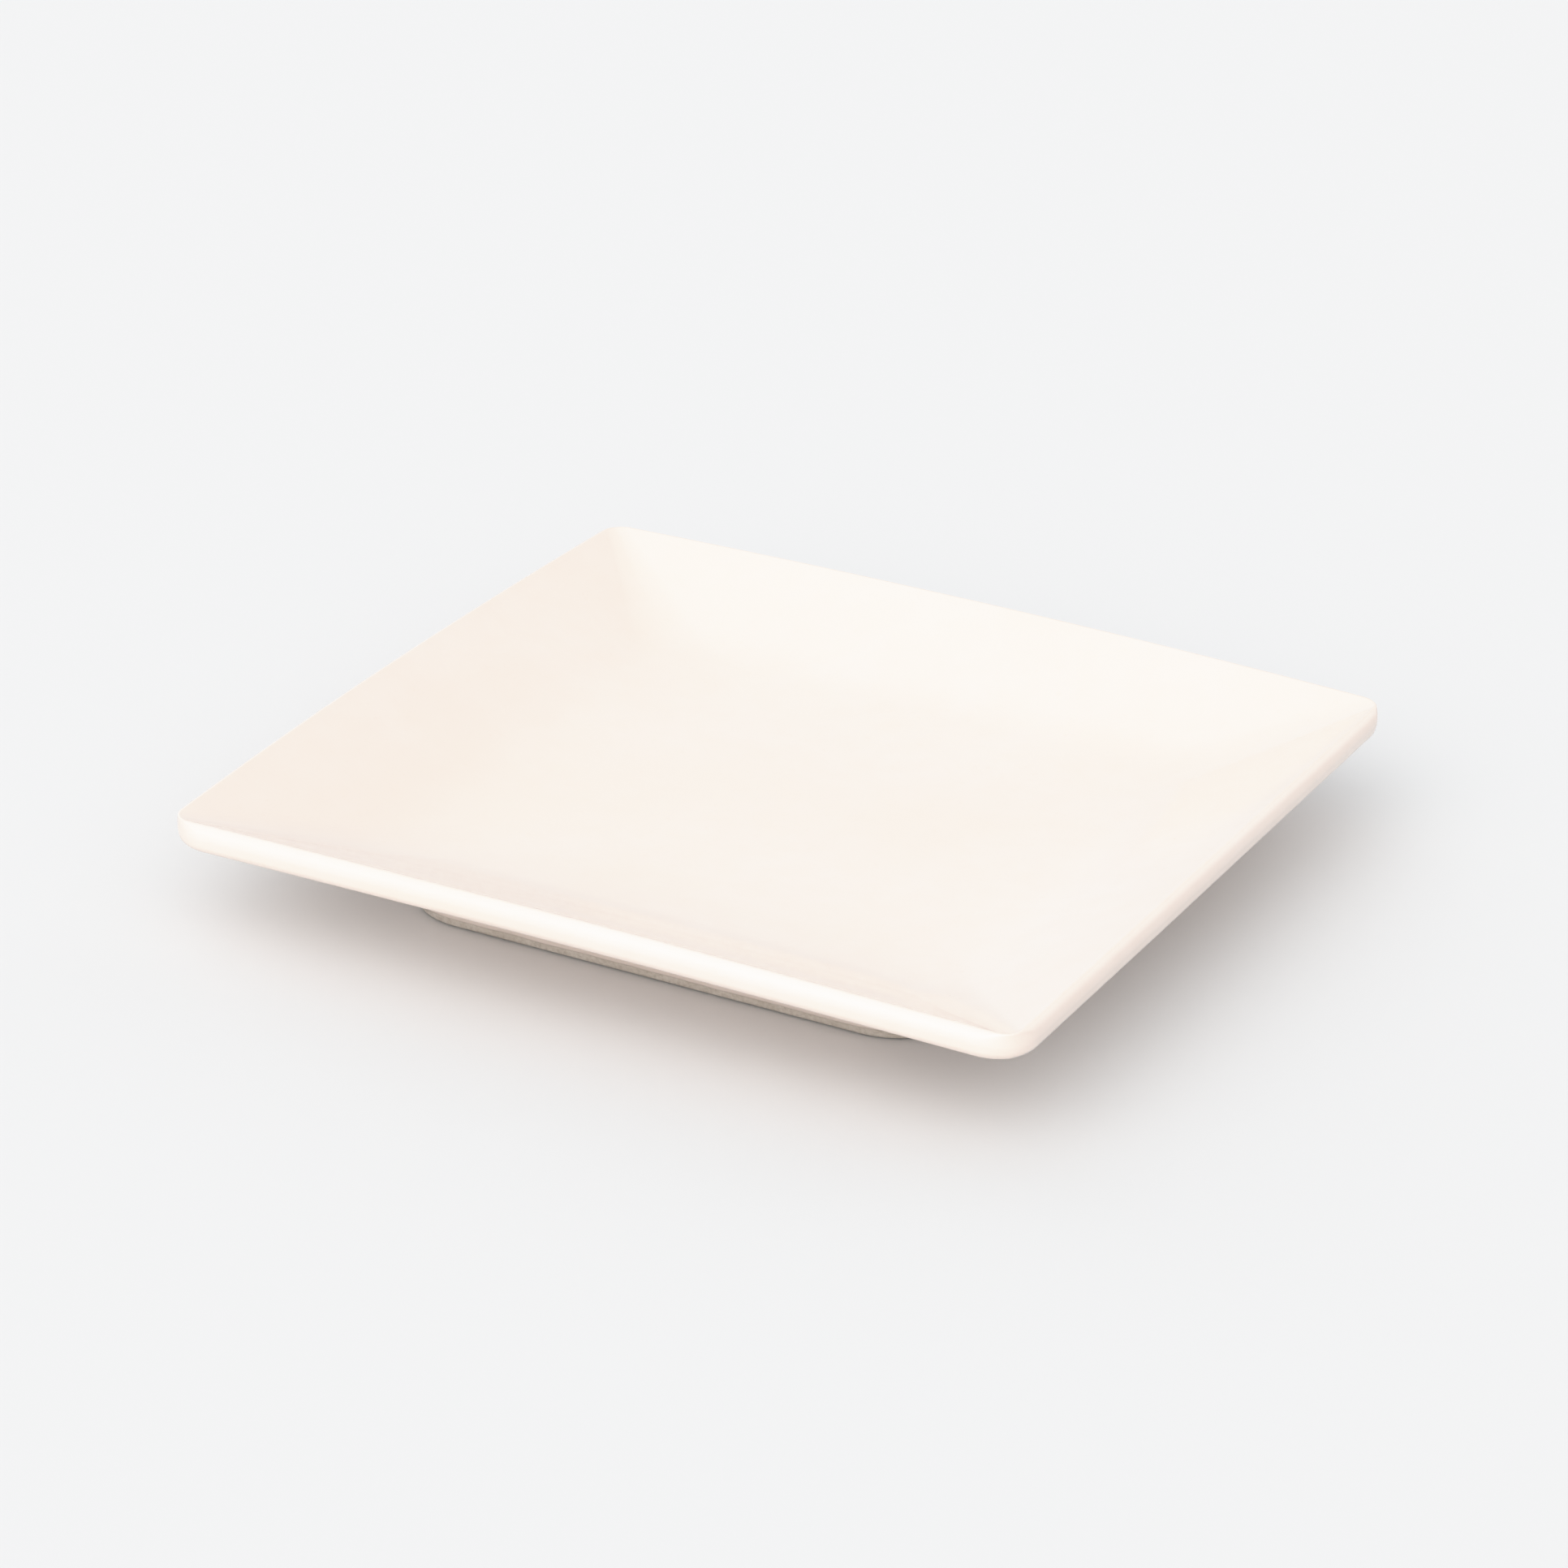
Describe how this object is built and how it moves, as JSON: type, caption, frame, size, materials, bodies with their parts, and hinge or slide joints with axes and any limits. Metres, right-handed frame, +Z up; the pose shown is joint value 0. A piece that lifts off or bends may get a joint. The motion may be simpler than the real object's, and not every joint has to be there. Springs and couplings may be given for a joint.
{
  "type": "square plate",
  "caption": "Square glazed ceramic plate with a crested round-edged rim, gently sloping walls meeting in mitred corners, a shallow well and a square foot ring.",
  "frame": {"origin": "middle of the plate on the plane that the foot ring stands on", "axes": "+Z up out of the well; X and Y parallel to the sides of the square"},
  "size_m": [0.15, 0.15, 0.0212],
  "materials": {
    "bare_clay": "matt unglazed fired clay, pale buff",
    "cream_glaze": "glossy warm ivory glaze"
  },
  "bodies": {
    "root": {"clay_body": "bare_clay", "glaze_coat": "cream_glaze", "base_glaze": "cream_glaze"}
  },
  "joints": []
}
